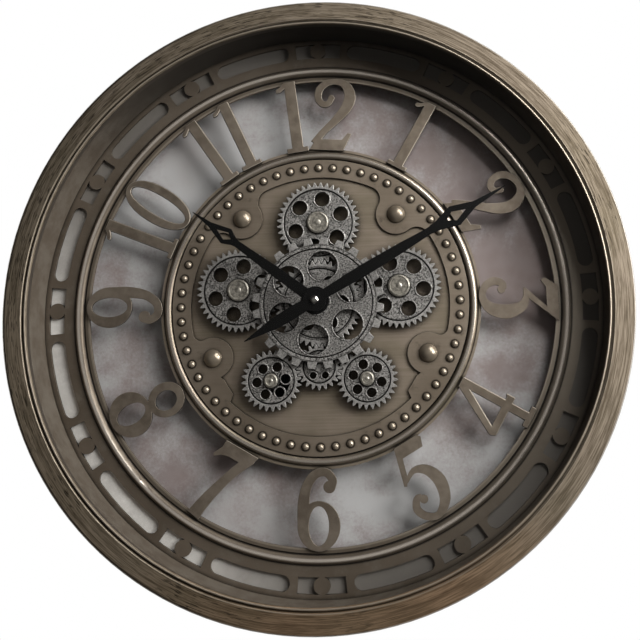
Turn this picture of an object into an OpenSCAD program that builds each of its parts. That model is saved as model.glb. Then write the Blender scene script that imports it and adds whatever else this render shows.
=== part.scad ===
// Gear wall clock: a deep round frame with a glass front, an open dial whose numerals
// bridge two rings, and a turning gear train on the centre plate behind two black hands.
// The clock faces -Y with +Z up. The origin is on the hand axis, at the wall.

/* [Frame] */
// Depth from the wall to the crest of the front bead
frame_depth = 76; // [72:1:90]
// Depth of the open recess between the wall and the back panel
recess_depth = 17.8; // [17:0.2:24]
// Thickness of the frame's moulded walls
wall_t = 3; // [2:0.2:4]
// Width of the hollow between the frame's two walls
channel_w = 6.5; // [6:0.5:14]
// How far the frame's side flares out from the wall to the front
flare = 1.6; // [0.5:0.1:5]
// Radius of the frame's rounded outer edge
edge_r = 2.2; // [1:0.1:4]
// How far the brushed band falls back from its inner edge to its outer edge
band_fall = 3.4; // [1:0.1:5]
// Radius of the rounded shoulder between the groove and the band
shoulder_r = 0.8; // [0.4:0.1:0.9]
// How far the brushed band lies behind the front bead
band_drop = 0.6; // [0.2:0.1:1.5]
// Radius of the thin front bead
bead_r = 0.9; // [0.6:0.1:1.4]
// Width of the groove between the front bead and the brushed band
groove_w = 2.2; // [1:0.2:3]
// Depth of that groove below the brushed band
groove_d = 0.9; // [0.8:0.1:1.2]
// How far the lip covers the edge of the glass
lip_w = 5; // [4:0.2:6]
// Thickness of the lip, bead included
lip_t = 2.6; // [2.5:0.1:5]
// Number of screws that hold the back panel
panel_screws = 8; // [4:1:12]

/* [Glass] */
// Thickness of the glass
glass_t = 3; // [2:0.2:4]
// Radial play of the glass in the frame
glass_play = 0.5; // [0.3:0.1:1]
// Height of the ring that holds the glass
retainer_h = 5; // [3:0.5:8]
// Radial width of that ring
retainer_w = 3; // [2:0.2:5]

/* [Dial] */
// Thickness of the dial ring
dial_t = 2.5; // [1.5:0.1:4]
// Radial gap that the numerals bridge
numeral_gap = 64.7; // [56:0.1:72]
// Thickness of the numerals
numeral_t = 2.2; // [1.5:0.1:4]
// How far a numeral laps onto each ring
numeral_lap = 1.7; // [1:0.1:3]
// Distance from the dial ring's inner edge to its bead
dial_bead_offset = 9.1; // [7.5:0.1:11]
// Section radius of the dial bead
dial_bead_r = 4.2; // [3:0.1:5]
// Height of the dial bead above the ring
dial_bead_rise = 3; // [2:0.1:4]
// Width of the flat land inside the dial bead, under the numerals' ends
dial_land_w = 3.9; // [3.4:0.1:4.2]
// Width of the fine groove between that land and the bead
dial_groove_w = 0.8; // [0.4:0.1:1]
// Depth of that groove
dial_groove_d = 0.9; // [0.4:0.1:1.2]
// Distance from the dial bead to the middle of the slots
slot_offset = 20.6; // [16:0.1:24]
// Radial width of the slots
slot_w = 13.7; // [10:0.1:16]
// Width of dial left outside the slots
slot_margin = 4.4; // [3:0.1:8]
// Angle that a long slot spans
slot_span = 16.8; // [14:0.1:18]
// Angle that the window at each hour spans
window_span = 10; // [8:0.1:10.5]
// Radius of the dot in the middle of each window
dot_r = 7.1; // [5.5:0.1:8]
// Width of the ledge that the dial ring seats on
seat_w = 3.5; // [2:0.1:6]
// Play of the dial ring, spacer and panel in the frame
seat_play = 0.3; // [0.2:0.1:0.6]

/* [Back] */
// Thickness of the back panel
panel_t = 1.2; // [0.8:0.1:2]
// Height of the spacer ring and standoffs between panel and dial
spacer_h = 11.5; // [8:0.5:18]
// Gap between the dial ring and the spacer's flange behind its slots
flange_gap = 0.5; // [0.3:0.1:4]
// Thickness of that flange
flange_t = 1; // [0.6:0.1:2]
// Radius of the opening in the middle of the back panel
panel_hole_r = 88; // [82:1:94]
// Height of the hanger above the hand axis
hanger_z = 214; // [150:1:225]
// Width of the hanger's raised plate
hanger_w = 38; // [30:1:50]
// Height of the hanger
hanger_h = 26; // [22:1:40]
// Length of each hanger foot
hanger_foot = 13; // [11:0.5:20]
// How far the hanger stands off the back panel
hanger_rise = 14; // [10:0.5:16]
// Thickness of the hanger steel
hanger_t = 1.5; // [1:0.1:2]
// Radius of the keyhole's round entry
keyhole_r = 5; // [4:0.1:6]
// Half width of the keyhole's slot
keyslot_r = 2.4; // [1.5:0.1:2.6]
// Length of the keyhole's slot above the entry
keyslot_l = 8; // [6:0.5:10]

/* [Centre plate] */
// Radius of the centre plate
plate_r = 141.8; // [138:0.1:150]
// Thickness of the centre plate
plate_t = 2.5; // [1.5:0.1:4]
// Distance from the plate's edge to its rolled bead
plate_bead_inset = 6.6; // [5:0.1:8]
// Section radius of the rolled bead
plate_bead_r = 3.7; // [2:0.1:4]
// Height of the rolled bead above the plate
plate_bead_rise = 2.5; // [1:0.1:3.5]
// Distance from the plate's edge to the raised border
border_inset = 10.8; // [10.4:0.1:12]
// Width of the raised border
border_w = 16.5; // [14:0.1:20]
// Thickness of the raised border
border_t = 2; // [0.8:0.1:3]
// Radius of the lobes of the border around the rivets
lobe_r = 18; // [12:0.5:20]
// Radius of the fillets beside the lobes
lobe_fillet = 7; // [3:0.5:8]
// Number of small studs
stud_count = 60; // [12:12:72]
// Distance from the plate's edge to the ring of studs
stud_inset = 18.5; // [16:0.1:22]
// Radius of a stud's dome
stud_r = 3; // [1.5:0.1:3.2]
// Height of a stud's dome
stud_rise = 2.5; // [0.8:0.1:2.8]
// Radius of a stud's pin
stud_pin_r = 0.9; // [0.5:0.1:1.2]
// Radius of a rivet's dome
rivet_r = 8.3; // [5:0.1:10]
// Height of a rivet's dome
rivet_rise = 5.2; // [3:0.1:7]
// Radius of a rivet's pin
rivet_pin_r = 2; // [1.5:0.1:3]
// Distance from the plate's edge to the rivets
rivet_inset = 37.2; // [34:0.1:42]
// Angle of the upper rivets from twelve o'clock
rivet_high_angle = 41.4; // [38:0.1:50]
// Angle of the lower rivets from twelve o'clock
rivet_low_angle = 115.7; // [112:0.1:120]
// Radius of the standoffs behind the rivets
standoff_r = 5; // [4:0.1:8]

/* [Gears] */
// Module of the meshing gears
gear_module = 1.75; // [1.6:0.01:1.85]
// Teeth of the sun gear behind the front gear
sun_teeth = 42; // [36:1:44]
// Teeth of the top, left and right gears
satellite_teeth = 40; // [36:1:42]
// Teeth of the driving pinion
pinion_teeth = 21; // [18:1:24]
// Teeth of the two lower gears
lower_teeth = 28; // [22:1:30]
// Angle of the left and right gears above the horizontal
side_gear_angle = 10.6; // [5:0.1:16]
// Angle of the lower gears below the pinion
lower_gear_angle = 14.7; // [10:0.1:20]
// Pressure angle of the teeth
pressure_angle = 25; // [20:0.5:26]
// How much each tooth is thinned for free running
tooth_play = 0.4; // [0.2:0.05:0.6]
// Thickness of the meshing gears
gear_t = 4; // [3:0.1:6]
// Clearance between the raised border and the gears
gear_lift = 2; // [1.5:0.1:4]
// Clearance between the meshing gears and the front gear
front_lift = 1.5; // [1.3:0.1:3]
// Thickness of the front gear
front_t = 3; // [2:0.1:4]
// Teeth of the front gear
front_teeth = 24; // [18:1:30]
// Tip radius of the front gear
front_r = 57.2; // [54:0.1:60]
// Height of the front gear's teeth
front_tooth_h = 5.8; // [4:0.1:7]
// Radius of the front gear's round windows
front_hole_r = 13.2; // [10:0.1:14]
// Radius of the ring that those windows lie on
front_hole_ring = 32.3; // [30:0.1:33]
// How far the webs lie behind the gears' rims
web_sink = 0.7; // [0.3:0.1:1.2]
// Width of the groove inside each gear's rim
rim_groove_w = 1.2; // [0.6:0.1:2]
// Depth of that groove
rim_groove_d = 1.4; // [0.8:0.1:2]
// Width of the raised lip around each gear hole
hole_lip_w = 0.9; // [0.4:0.1:1.4]
// Radius of the pins that the satellites turn on
post_pin_r = 4; // [3:0.1:5]
// Radius of the flat heads of those pins
post_head_r = 9.6; // [7:0.1:11]
// Radius of the pins that the lower gears turn on
low_pin_r = 2.5; // [2:0.1:3.2]
// Radius of the flat heads of those pins
low_head_r = 6.1; // [5:0.1:7]
// Thickness of the pin heads
post_head_t = 1.8; // [1:0.1:3]
// Height of the small nub in the middle of each pin head
post_nub_h = 0.9; // [0.4:0.1:1.5]

/* [Hands] */
// Length of the minute hand from its axis to its tip
minute_len = 188; // [170:1:198]
// Length of the minute hand's tail
minute_tail = 68; // [50:1:80]
// Length of the hour hand from its axis to its tip
hour_len = 133; // [115:1:150]
// Thickness of the hands
hand_t = 1.2; // [0.8:0.1:2]
// Gap between the hands
hand_gap = 3.4; // [2:0.1:5]
// Clearance between the hand nut and the glass
glass_gap = 1.2; // [0.6:0.1:3]
// Where the minute hand points at rest, clockwise from twelve
minute_rest = 60.4; // [0:0.1:360]
// Where the hour hand points at rest, clockwise from twelve
hour_rest = 307; // [0:0.1:360]

/* [Movement] */
// Width and height of the quartz movement
case_w = 58; // [56:0.5:62]
// Depth of the movement, cover included
case_d = 16; // [16:0.2:17]
// Wall of the movement's case
case_wall = 1.6; // [1.2:0.1:2]
// Radius of the movement's threaded bush
bush_r = 4.2; // [4.1:0.1:5]
// Radius of the bush's nose, which the sun gear turns on
nose_r = 3.7; // [3.6:0.1:4]
// Radius of the hour tube
tube_r = 2.7; // [2.5:0.1:2.8]
// Radius of the minute arbor
arbor_r = 1.5; // [1.2:0.1:1.7]
// Module of the motion work's first pair
motion_module = 0.42; // [0.4:0.01:0.44]
// Teeth of the cannon pinion and the minute wheel's pinion
cannon_teeth = 12; // [12:1:12]
// Teeth of the minute wheel
minute_wheel_teeth = 36; // [36:1:36]
// Teeth of the minute wheel's pinion
minute_pinion_teeth = 10; // [10:1:10]
// Teeth of the hour wheel
hour_wheel_teeth = 40; // [40:1:40]
// Radius of the setting knob
knob_r = 7; // [5:0.1:9]
// Height of the setting knob
knob_h = 5; // [3:0.1:6]

/* [Gear drive] */
// Radius of the gear motor
motor_r = 14; // [11:0.1:15]
// Depth of the gear motor
motor_d = 17; // [14:0.1:18]
// Radius of the motor's shaft
shaft_r = 2; // [1.5:0.1:2.5]
// Distance of each motor screw from the shaft
motor_screw_x = 18.5; // [18:0.1:22]
// Wall of the battery box
box_wall = 1.4; // [1:0.1:2]
// Gap between the movement and the battery box
box_gap = 2.5; // [1.5:0.1:4]
// Height of the battery box's middle, against the hand axis
box_z = -6; // [-8:0.5:0]
// Travel of the switch
switch_travel = 4; // [2:0.5:5]

/* [Cells] */
// Radius of a cell
cell_r = 7.1; // [7:0.05:7.25]
// Length of a cell without its cap
cell_l = 49.2; // [48:0.1:49.5]
// Height of a cell's cap
cell_cap = 1.2; // [0.8:0.1:1.5]
// Play around a cell
cell_play = 0.4; // [0.2:0.1:0.8]

/* [Fits] */
// Radial clearance of turning and seated pins
fit = 0.05; // [0.02:0.01:0.1]
// Axial clearance beside turning pieces
run_gap = 0.3; // [0.2:0.05:0.5]
// Radius of the small screws
screw_r = 1.4; // [1:0.1:1.6]
// Radius of the heads of the small screws
screw_head_r = 2.9; // [2.2:0.1:3.4]
// Height of the heads of the small screws
screw_head_h = 1.6; // [1:0.1:2.5]
// Length of the screws below their heads
screw_l = 8; // [6:0.5:10]

/* [Hidden] */
$fn = 96;

// Radii, worked out from the centre plate outwards
plate_bead_ring = plate_r - plate_bead_inset;
border_out = plate_r - border_inset;
border_in = border_out - border_w;
stud_ring = plate_r - stud_inset;
rivet_ring = plate_r - rivet_inset;
numeral_ring = plate_r + numeral_gap / 2;
dial_in = plate_r + numeral_gap;
dial_bead_ring = dial_in + dial_bead_offset;
slot_ring = dial_bead_ring + slot_offset;
slot_in = slot_ring - slot_w / 2;
slot_out = slot_ring + slot_w / 2;
bezel_r = slot_out + slot_margin;
glass_r = bezel_r - glass_play;
lip_r = bezel_r - lip_w;
front_bead_ring = lip_r + bead_r + 0.05;
seat_r = bezel_r + seat_w;
rear_in = seat_r + wall_t + channel_w;
rear_r = rear_in + wall_t;
frame_r = rear_r + flare;
boss_r = screw_r + 2;
boss_ring = rear_in - channel_w / 2 - 1;
panel_r = boss_ring + screw_r + 1.4;

// Heights above the wall, worked out from the back panel forwards
panel_front = recess_depth + panel_t;
dial_back = panel_front + spacer_h;
dial_front = dial_back + dial_t;
plate_back = dial_front - plate_t;
border_front = dial_front + border_t;
gear_back = border_front + gear_lift;
gear_front = gear_back + gear_t;
front_back = gear_front + front_lift;
front_front = front_back + front_t;

// Heights worked out from the front bead backwards
band_h = frame_depth - band_drop;
glass_front = frame_depth - lip_t;
glass_back = glass_front - glass_t;
nut_h = 2.6;
minute_front = glass_back - glass_gap - nut_h;
minute_back = minute_front - hand_t;
hour_front = minute_back - hand_gap;
hour_back = hour_front - hand_t;

// Gear centres on the face and the phase of each gear's first tooth
satellite_dist = gear_module * (sun_teeth + satellite_teeth) / 2;
pinion_dist = gear_module * (sun_teeth + pinion_teeth) / 2;
lower_dist = gear_module * (pinion_teeth + lower_teeth) / 2;
function polar(r, a) = [r * cos(a), r * sin(a)];
function mesh_phase(phase, teeth, next_teeth, toward) =
    toward + 180 - (phase - toward) * teeth / next_teeth - 180 / next_teeth;
left_dir = 180 - side_gear_angle;
right_dir = side_gear_angle;
low_left_dir = 180 + lower_gear_angle;
low_right_dir = -lower_gear_angle;
top_pos = polar(satellite_dist, 90);
left_pos = polar(satellite_dist, left_dir);
right_pos = polar(satellite_dist, right_dir);
pinion_pos = polar(pinion_dist, -90);
low_left_pos = pinion_pos + polar(lower_dist, low_left_dir);
low_right_pos = pinion_pos + polar(lower_dist, low_right_dir);
sun_phase = 90;
top_phase = mesh_phase(sun_phase, sun_teeth, satellite_teeth, 90);
left_phase = mesh_phase(sun_phase, sun_teeth, satellite_teeth, left_dir);
right_phase = mesh_phase(sun_phase, sun_teeth, satellite_teeth, right_dir);
pinion_phase = mesh_phase(sun_phase, sun_teeth, pinion_teeth, -90);
low_left_phase = mesh_phase(pinion_phase, pinion_teeth, lower_teeth, low_left_dir);
low_right_phase = mesh_phase(pinion_phase, pinion_teeth, lower_teeth, low_right_dir);

// The sun gear's hub runs on the movement's nose between the fixing nut and a clip
fix_nut_t = 3;
fix_nut_front = dial_front + fix_nut_t;
sun_hub_r = nose_r + 3.6;
sun_hub_back = fix_nut_front + run_gap;
sun_hub_front = front_front + 0.8;
clip_t = 1.2;
clip_back = sun_hub_front + run_gap;
clip_front = clip_back + clip_t;
nose_front = clip_front + 1;

// Places on the rear of the centre plate
post_shank_r = 2;
post_nut_t = 2.6;
post_nut_r = 4.4;
post_end = plate_back - post_nut_t - 1;
case_back = plate_back - case_d;
cover_t = 1.4;
cover_front = case_back + cover_t;
case_floor = plate_back - case_wall;
works_half = case_w / 2 - case_wall;
cell_depth = 2 * cell_r + cell_play;
cell_z = -(works_half - cell_r - cell_play);
bay_top = cell_z + cell_r + cell_play;
bay_wall = 0.8;
box_w = 4 * cell_r + 3 * cell_play + 2 * box_wall;
contact_t = 0.5;
contact_half = 0.63 * cell_r;
cell_len = cell_l + cell_cap;
bay_len = cell_len + 2 * contact_t + cell_play;
box_len = bay_len + 2 * box_wall;
box_d = cell_depth + box_wall;
box_x = -(case_w / 2 + box_gap + box_w / 2);
box_back = plate_back - box_d;
cell_pitch = cell_r + cell_play / 2;
switch_w = 5;
switch_h = 4;
switch_block_h = switch_h + 2 * box_wall + 1.2;
switch_depth = 9;

// Motion work inside the movement
motion_dist = motion_module * (cannon_teeth + minute_wheel_teeth) / 2;
hour_module = 2 * motion_dist / (minute_pinion_teeth + hour_wheel_teeth);
motion_dir = 30;
motion_pos = polar(motion_dist, motion_dir);
motion_play = 0.1;
hour_wheel_t = 1.6;
hour_wheel_front = case_floor - run_gap;
hour_wheel_back = hour_wheel_front - hour_wheel_t;
minute_wheel_t = 1.4;
minute_wheel_front = hour_wheel_back - 1.2;
minute_wheel_back = minute_wheel_front - minute_wheel_t;
cannon_phase = 0;
minute_wheel_phase = mesh_phase(cannon_phase, cannon_teeth, minute_wheel_teeth, motion_dir);
minute_pinion_phase = 0;
hour_wheel_phase = mesh_phase(minute_pinion_phase, minute_pinion_teeth, hour_wheel_teeth, motion_dir + 180);
stem_r = 1.4;
knob_front = case_back - run_gap;
rotor_pos = [-(works_half - 13.4), 8];
rotor_r = 2.6;
rotor_t = 3.2;
rotor_pivot_r = 0.6;
stator_t = 0.8;
stator_front = case_floor - 5.4;
coil_r = 3.4;
coil_l = 17;
coil_z = works_half - 7.9;

RIVET_POS = [for (s = [-1, 1], a = [rivet_high_angle, rivet_low_angle]) polar(rivet_ring, 90 + s * a)];
SATELLITE_POS = [top_pos, left_pos, right_pos];
LOWER_POS = [low_left_pos, low_right_pos];
HOURS = [1, 2, 3, 4, 5, 6, 7, 8, 9, 10, 11, 12];

// Stands face drawings up: x stays right, y becomes up and height grows out of the wall
module face(height = 0) {
    rotate([90, 0, 0]) translate([0, 0, height]) children();
}

module at(pos) {
    translate([pos[0], pos[1], 0]) children();
}

module spin(count, start = 0) {
    for (i = [0 : count - 1]) rotate(start + i * 360 / count) children();
}

// A disc or a tube between two heights
module ring(outer, inner, back, front) {
    translate([0, 0, back])
        linear_extrude(front - back)
            difference() {
                circle(outer);
                if (inner > 0) circle(inner);
            }
}

module post(r, back, front) {
    translate([0, 0, back]) cylinder(r = r, h = front - back);
}

// A low dome with the given base radius and rise, standing on the given height
module dome(r, rise, base) {
    ball = (r * r + rise * rise) / (2 * rise);
    intersection() {
        translate([0, 0, base + rise - ball]) sphere(ball);
        post(r + 1, base, base + rise + 1);
    }
}

// A screw whose head seats on the given height from the wall side
module rear_screw(seat, length) {
    post(screw_head_r, seat - screw_head_h, seat);
    post(screw_r, seat, seat + length);
}

// The frame is one moulding of ring section, hollow from behind

function corner_arc(x, y, r, from, to, steps) =
    [for (i = [0 : steps]) [x, y] + polar(r, from + (to - from) * i / steps)];

module frame_section() {
    groove_out = front_bead_ring + bead_r + groove_w;
    groove_h = band_h - groove_d;
    lip_h = frame_depth - bead_r;
    edge_h = band_h - band_fall - edge_r;
    tilt = atan2(band_fall, frame_r - edge_r - groove_out - shoulder_r);
    channel_top = band_h - band_fall - wall_t + 0.6;
    polygon(concat(
        [[rear_in, 0], [rear_r, 0]],
        corner_arc(frame_r - edge_r, edge_h, edge_r, 0, 90 - tilt, 6),
        corner_arc(groove_out + shoulder_r, band_h - shoulder_r, shoulder_r, 90 - tilt, 180, 6),
        [[groove_out - 0.3, groove_h], [front_bead_ring, groove_h]],
        [[lip_r + 0.7, lip_h], [lip_r, lip_h - 0.7]],
        [[lip_r, glass_front], [bezel_r, glass_front], [bezel_r, dial_front], [seat_r, dial_front]],
        [[seat_r, panel_front], [seat_r + wall_t, panel_front]],
        [[seat_r + wall_t, dial_front + wall_t], [bezel_r + wall_t, dial_front + wall_t + seat_w]],
        [[bezel_r + wall_t, channel_top], [frame_r - wall_t - 2.5, channel_top]],
        [[frame_r - wall_t - 0.2, channel_top - 3]]
    ));
    translate([front_bead_ring, frame_depth - bead_r]) circle(bead_r);
}

module frame_ring() {
    color("#5f5645")
        face()
            difference() {
                union() {
                    rotate_extrude($fn = 240) frame_section();
                    spin(panel_screws, 180 / panel_screws)
                        at([boss_ring, 0]) post(boss_r, panel_front, band_h - band_fall - 1);
                }
                spin(panel_screws, 180 / panel_screws)
                    at([boss_ring, 0]) post(screw_r + fit, panel_front - 1, panel_front + screw_l + 1);
            }
}

module glass_pane() {
    color([0.9, 0.95, 0.95, 0.25]) face() post(glass_r, glass_back, glass_front);
}

module glass_retainer() {
    color("#22211f") face() ring(bezel_r - fit, bezel_r - retainer_w, glass_back - retainer_h, glass_back);
}

// The dial is a slotted ring with a half-round bead, clamped between ledge and spacer

module slot_cutter(span, round_ends) {
    rotate(90 - span / 2)
        rotate_extrude(angle = span)
            translate([slot_in, dial_back - 1]) square([slot_w, dial_t + 2]);
    if (round_ends)
        for (s = [-1, 1])
            rotate(s * span / 2) at([0, slot_ring]) post(slot_w / 2, dial_back - 1, dial_front + 1);
}

module dial_ring() {
    bead_h = dial_front + dial_bead_rise - dial_bead_r;
    end_angle = slot_w / slot_ring * 90 / PI * 2;
    color("#5b5348")
        face() {
            difference() {
                rotate_extrude($fn = 240) {
                    difference() {
                        translate([dial_in, dial_back]) square([seat_r - seat_play - dial_in, dial_t]);
                        translate([dial_in + dial_land_w, dial_front - dial_groove_d])
                            square([dial_groove_w, dial_groove_d + 1]);
                    }
                    intersection() {
                        translate([dial_bead_ring, bead_h]) circle(dial_bead_r);
                        translate([dial_bead_ring - dial_bead_r, dial_back])
                            square([2 * dial_bead_r, dial_t + dial_bead_rise + 1]);
                    }
                }
                spin(12) slot_cutter(window_span, false);
                spin(12, 15) slot_cutter(slot_span - end_angle, true);
            }
            spin(12) at([0, slot_ring]) post(dot_r, dial_back, dial_front);
        }
}

// The spacer is a galvanised angle ring; its flange closes the slots from behind
module spacer_ring() {
    flange_front = dial_back - flange_gap;
    color("#8f9092")
        face() {
            ring(seat_r - seat_play, bezel_r, panel_front, dial_back);
            ring(seat_r - seat_play, slot_in - 4.5, flange_front - flange_t, flange_front);
        }
}

module back_panel() {
    color("#8f9092")
        face()
            difference() {
                ring(panel_r, panel_hole_r, recess_depth, panel_front);
                spin(panel_screws, 180 / panel_screws)
                    at([boss_ring, 0]) post(screw_r + fit, recess_depth - 1, panel_front + 1);
                for (p = RIVET_POS) at(p) post(screw_r + fit, recess_depth - 1, panel_front + 1);
                for (s = [-1, 1])
                    at([s * hanger_screw_x(), hanger_z])
                        post(screw_r + fit, recess_depth - 1, panel_front + 1);
            }
}

module panel_screws_rear() {
    color("#9a9a98")
        face()
            spin(panel_screws, 180 / panel_screws) at([boss_ring, 0]) rear_screw(recess_depth, screw_l);
}

// The hanger is a pressed steel hat whose raised plate has a keyhole for a wall screw

function hanger_screw_x() = hanger_w / 2 + hanger_foot / 2 + 0.5;

module hanger_plate() {
    top = recess_depth - hanger_rise;
    half = hanger_w / 2;
    foot = half + hanger_foot;
    color("#8b8d8f")
        difference() {
            translate([0, 0, hanger_z - hanger_h / 2])
                linear_extrude(hanger_h)
                    polygon([
                        [-foot, -recess_depth], [hanger_t - half, -recess_depth],
                        [hanger_t - half, -top - hanger_t], [half - hanger_t, -top - hanger_t],
                        [half - hanger_t, -recess_depth], [foot, -recess_depth],
                        [foot, hanger_t - recess_depth], [half, hanger_t - recess_depth],
                        [half, -top], [-half, -top],
                        [-half, hanger_t - recess_depth], [-foot, hanger_t - recess_depth]
                    ]);
            face() {
                at([0, hanger_z - 5]) post(keyhole_r, top - 1, top + hanger_t + 1);
                at([0, hanger_z - 5 + keyslot_l]) post(keyslot_r, top - 1, top + hanger_t + 1);
                translate([-keyslot_r, hanger_z - 5, top - 1]) cube([2 * keyslot_r, keyslot_l, hanger_t + 2]);
                for (s = [-1, 1])
                    at([s * hanger_screw_x(), hanger_z])
                        post(screw_r + fit, recess_depth - hanger_t - 1, recess_depth + 1);
            }
        }
}

module hanger_screws() {
    color("#a3a3a0")
        face()
            for (s = [-1, 1])
                at([s * hanger_screw_x(), hanger_z]) rear_screw(recess_depth - hanger_t, screw_l / 2);
}

// The centre plate carries the gear train; a raised border with lobes is riveted onto it

module plate_holes(back, front) {
    spin(stud_count, 90) at([stud_ring, 0]) post(stud_pin_r + fit, back, front);
    for (p = RIVET_POS) at(p) post(rivet_pin_r + fit, back, front);
}

module centre_plate() {
    bead_h = dial_front + plate_bead_rise - plate_bead_r;
    color("#4f483e")
        face()
            difference() {
                rotate_extrude($fn = 180) {
                    translate([0, plate_back]) square([plate_r, plate_t]);
                    intersection() {
                        translate([plate_bead_ring, bead_h]) circle(plate_bead_r);
                        translate([plate_bead_ring - plate_bead_r, plate_back])
                            square([2 * plate_bead_r, plate_t + plate_bead_rise + 1]);
                    }
                }
                plate_holes(plate_back - 1, dial_front + 1);
                post(bush_r + fit, plate_back - 1, dial_front + 1);
                for (p = concat(SATELLITE_POS, LOWER_POS))
                    at(p) post(post_shank_r + fit, plate_back - 1, dial_front + 1);
                at(pinion_pos) post(shaft_r + 0.8, plate_back - 1, dial_front + 1);
                for (s = [-1, 1])
                    at(pinion_pos + [s * motor_screw_x, 0])
                        post(screw_r + fit, plate_back - 1, dial_front + 1);
            }
}

// Lists a mirrored outline the same way round as the one it mirrors
function one_way(side, points) =
    side > 0 ? points : [for (i = [len(points) - 1 : -1 : 0]) points[i]];

// Fills the corner between a lobe and the ring with a fillet that just bites into both
module lobe_web(lobe_dir, side, r) {
    bite = 0.1;
    reach = border_in - r + bite;
    gap = lobe_r + r - bite;
    span = acos((reach * reach + rivet_ring * rivet_ring - gap * gap) / (2 * reach * rivet_ring));
    web_dir = lobe_dir + side * span;
    difference() {
        polygon(one_way(side, [
            polar(border_in + 3, lobe_dir), polar(border_in + 3, web_dir),
            polar(reach, web_dir), polar(rivet_ring, lobe_dir)
        ]));
        translate(polar(reach, web_dir)) circle(r);
    }
}

// The notched step below each lower lobe
module lobe_step(lobe_dir, side) {
    polygon(one_way(side, [
        polar(border_in + 5, lobe_dir + side * 5), polar(border_in + 5, lobe_dir + side * 13),
        polar(border_in + 1, lobe_dir + side * 21.2),
        polar(border_in - 6.3, lobe_dir + side * 19.7), polar(border_in - 8.7, lobe_dir + side * 11.8),
        polar(border_in - 7, lobe_dir + side * 9)
    ]));
}

module border_outline() {
    difference() {
        circle(border_out, $fn = 180);
        circle(border_in, $fn = 180);
    }
    for (p = RIVET_POS) translate(p) circle(lobe_r);
    for (s = [-1, 1]) {
        lobe_web(90 + s * rivet_high_angle, 1, lobe_fillet + 5);
        lobe_web(90 + s * rivet_high_angle, -1, lobe_fillet + 5);
        lobe_web(90 + s * rivet_low_angle, -s, lobe_fillet);
        lobe_step(90 + s * rivet_low_angle, s);
    }
}

module border_plate() {
    color("#6d6352")
        face()
            difference() {
                translate([0, 0, dial_front]) linear_extrude(border_t) border_outline();
                plate_holes(dial_front - 1, border_front + 1);
            }
}

module minute_studs() {
    color("#b9ad98")
        face()
            spin(stud_count, 90)
                at([stud_ring, 0]) {
                    dome(stud_r, stud_rise, border_front, $fn = 24);
                    post(stud_pin_r, plate_back, border_front + 0.2, $fn = 24);
                }
}

function standoff_mid() = (panel_front + plate_back) / 2;

module dome_rivets() {
    color("#5e5546")
        face()
            for (p = RIVET_POS)
                at(p) {
                    dome(rivet_r, rivet_rise, border_front);
                    post(rivet_pin_r, standoff_mid() + 0.5, border_front + 0.5);
                }
}

module plate_standoffs() {
    color("#8a8578")
        face()
            for (p = RIVET_POS)
                at(p) {
                    ring(standoff_r, rivet_pin_r + fit, standoff_mid(), plate_back);
                    ring(standoff_r, screw_r + fit, panel_front, standoff_mid());
                }
}

module standoff_screws() {
    color("#9a9a98")
        face()
            for (p = RIVET_POS) at(p) rear_screw(recess_depth, panel_t + standoff_mid() - panel_front - 0.5);
}

// The numerals are cut from plate; each one bridges the centre plate and the dial ring

function bend(a, b, c, d, t) =
    b + (c - a) * t / 2 + (2 * a - 5 * b + 4 * c - d) * t * t / 2 + (3 * b - a - 3 * c + d) * t * t * t / 2;
function curve(p, n) = concat(
    [for (i = [0 : len(p) - 2], k = [0 : n - 1])
        bend(p[max(i - 1, 0)], p[i], p[i + 1], p[min(i + 2, len(p) - 1)], k / n)],
    [p[len(p) - 1]]
);
function side(c, i, s) =
    let (d = c[min(i + 1, len(c) - 1)] - c[max(i - 1, 0)], l = norm([d[0], d[1]]))
    [c[i][0] - s * d[1] / l * c[i][2], c[i][1] + s * d[0] / l * c[i][2]];

// A pen stroke through points that each hold x, y and half the stroke's width
module stroke(points, n = 4) {
    c = curve(points, n);
    last = len(c) - 1;
    polygon(concat([for (i = [0 : last]) side(c, i, -1)], [for (i = [0 : last]) side(c, last - i, 1)]));
}

module oval(x, y, a, b, power = 1, n = 44) {
    polygon([for (i = [0 : n - 1])
        let (c = cos(i * 360 / n), s = sin(i * 360 / n))
        [x + a * sign(c) * pow(abs(c), power), y + b * sign(s) * pow(abs(s), power)]]);
}

module ball(x, y, r) {
    translate([x, y]) circle(r, $fn = 32);
}

module digit_0() {
    difference() {
        oval(0, 0, 16.8, 34, 0.92);
        oval(0, 0, 8.4, 29, 0.92);
    }
}

module digit_1() {
    polygon([
        [-10, -34], [9.5, -34], [9.5, -29.5], [5.2, -29.5], [5.2, 34], [-5.2, 34],
        [-8, 31], [-13, 28.5], [-13.2, 24.8], [-9.5, 25], [-5.2, 28], [-5.2, -29.5], [-10, -29.5]
    ]);
}

module digit_2() {
    stroke([
        [-2.6, 15.5, 2.4], [-5.2, 10.4, 2.8], [-10.4, 9.6, 3], [-14.8, 14.5, 3.2], [-14.4, 23, 3.4],
        [-8.5, 29.4, 3.2], [1, 31.4, 2.8], [9.5, 28.2, 4], [14.2, 18, 5.2], [11, 6, 5],
        [2, -6, 3.8], [-8, -17, 3.2], [-15.5, -28, 3.6]
    ]);
    ball(-2.9, 15.6, 2.9);
    polygon([[-19.5, -34], [11.5, -34], [18, -18], [14.5, -16.8], [9.5, -23.6], [-14, -23.6]]);
}

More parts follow.
